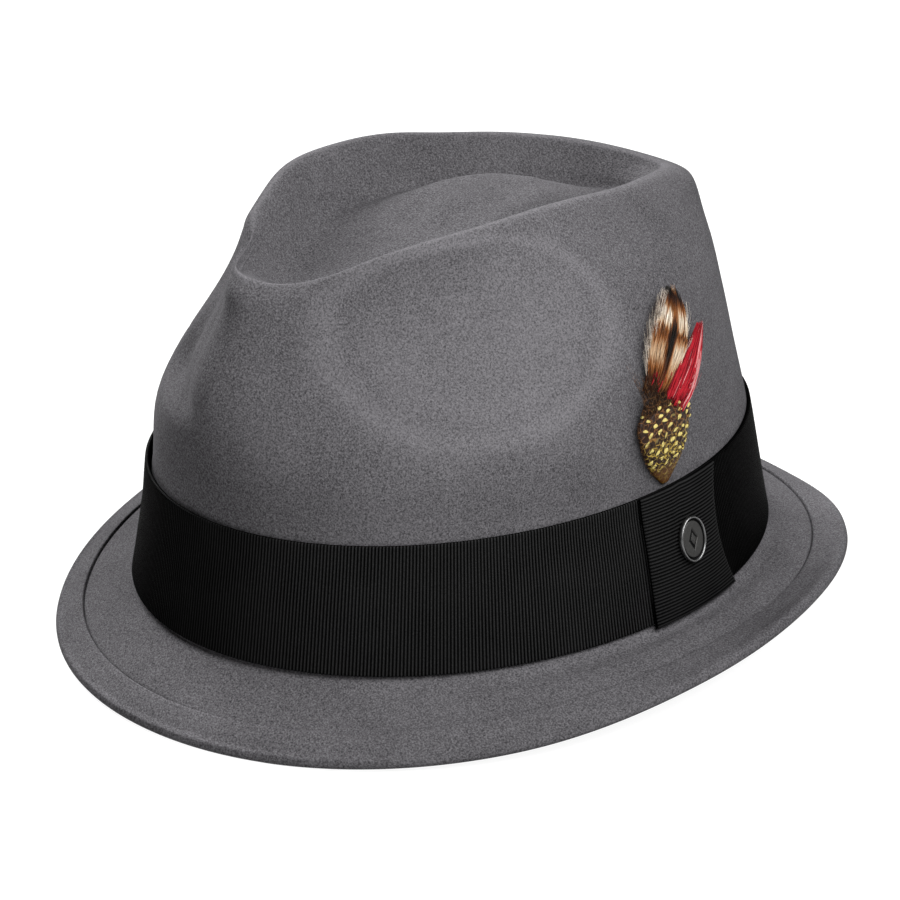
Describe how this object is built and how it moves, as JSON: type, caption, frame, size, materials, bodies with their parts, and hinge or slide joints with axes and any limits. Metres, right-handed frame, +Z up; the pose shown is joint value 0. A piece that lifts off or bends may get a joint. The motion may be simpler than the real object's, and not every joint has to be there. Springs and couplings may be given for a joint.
{
  "type": "felt trilby hat",
  "caption": "Short-brimmed felt hat with a teardrop crown, a dent on each side, a ribbed ribbon band with a tab and badge, and a bundle of feathers.",
  "frame": {"origin": "on the surface that the hat rests on, under the middle of its bounding box", "axes": "+Z up through the crown, front at -Y, the wearer's left with the tab and feathers at +X"},
  "size_m": [0.2206, 0.258, 0.1313],
  "materials": {
    "wool_felt": "matt grey wool felt",
    "band_ribbon": "black ribbon with upright ribs",
    "tab_ribbon": "black ribbon with level ribs",
    "badge_metal": "polished rim round a matt field",
    "pad_feather": "brown feather with gold spots",
    "striped_feather": "cream, brown and black barred feather",
    "red_feather": "dyed red feather"
  },
  "bodies": {
    "root": {"felt_hood": "wool_felt", "ribbon_band": "band_ribbon", "ribbon_tab": "tab_ribbon", "badge": "badge_metal", "feather_pad": "pad_feather", "striped_plume": "striped_feather", "red_plume": "red_feather"}
  },
  "joints": []
}
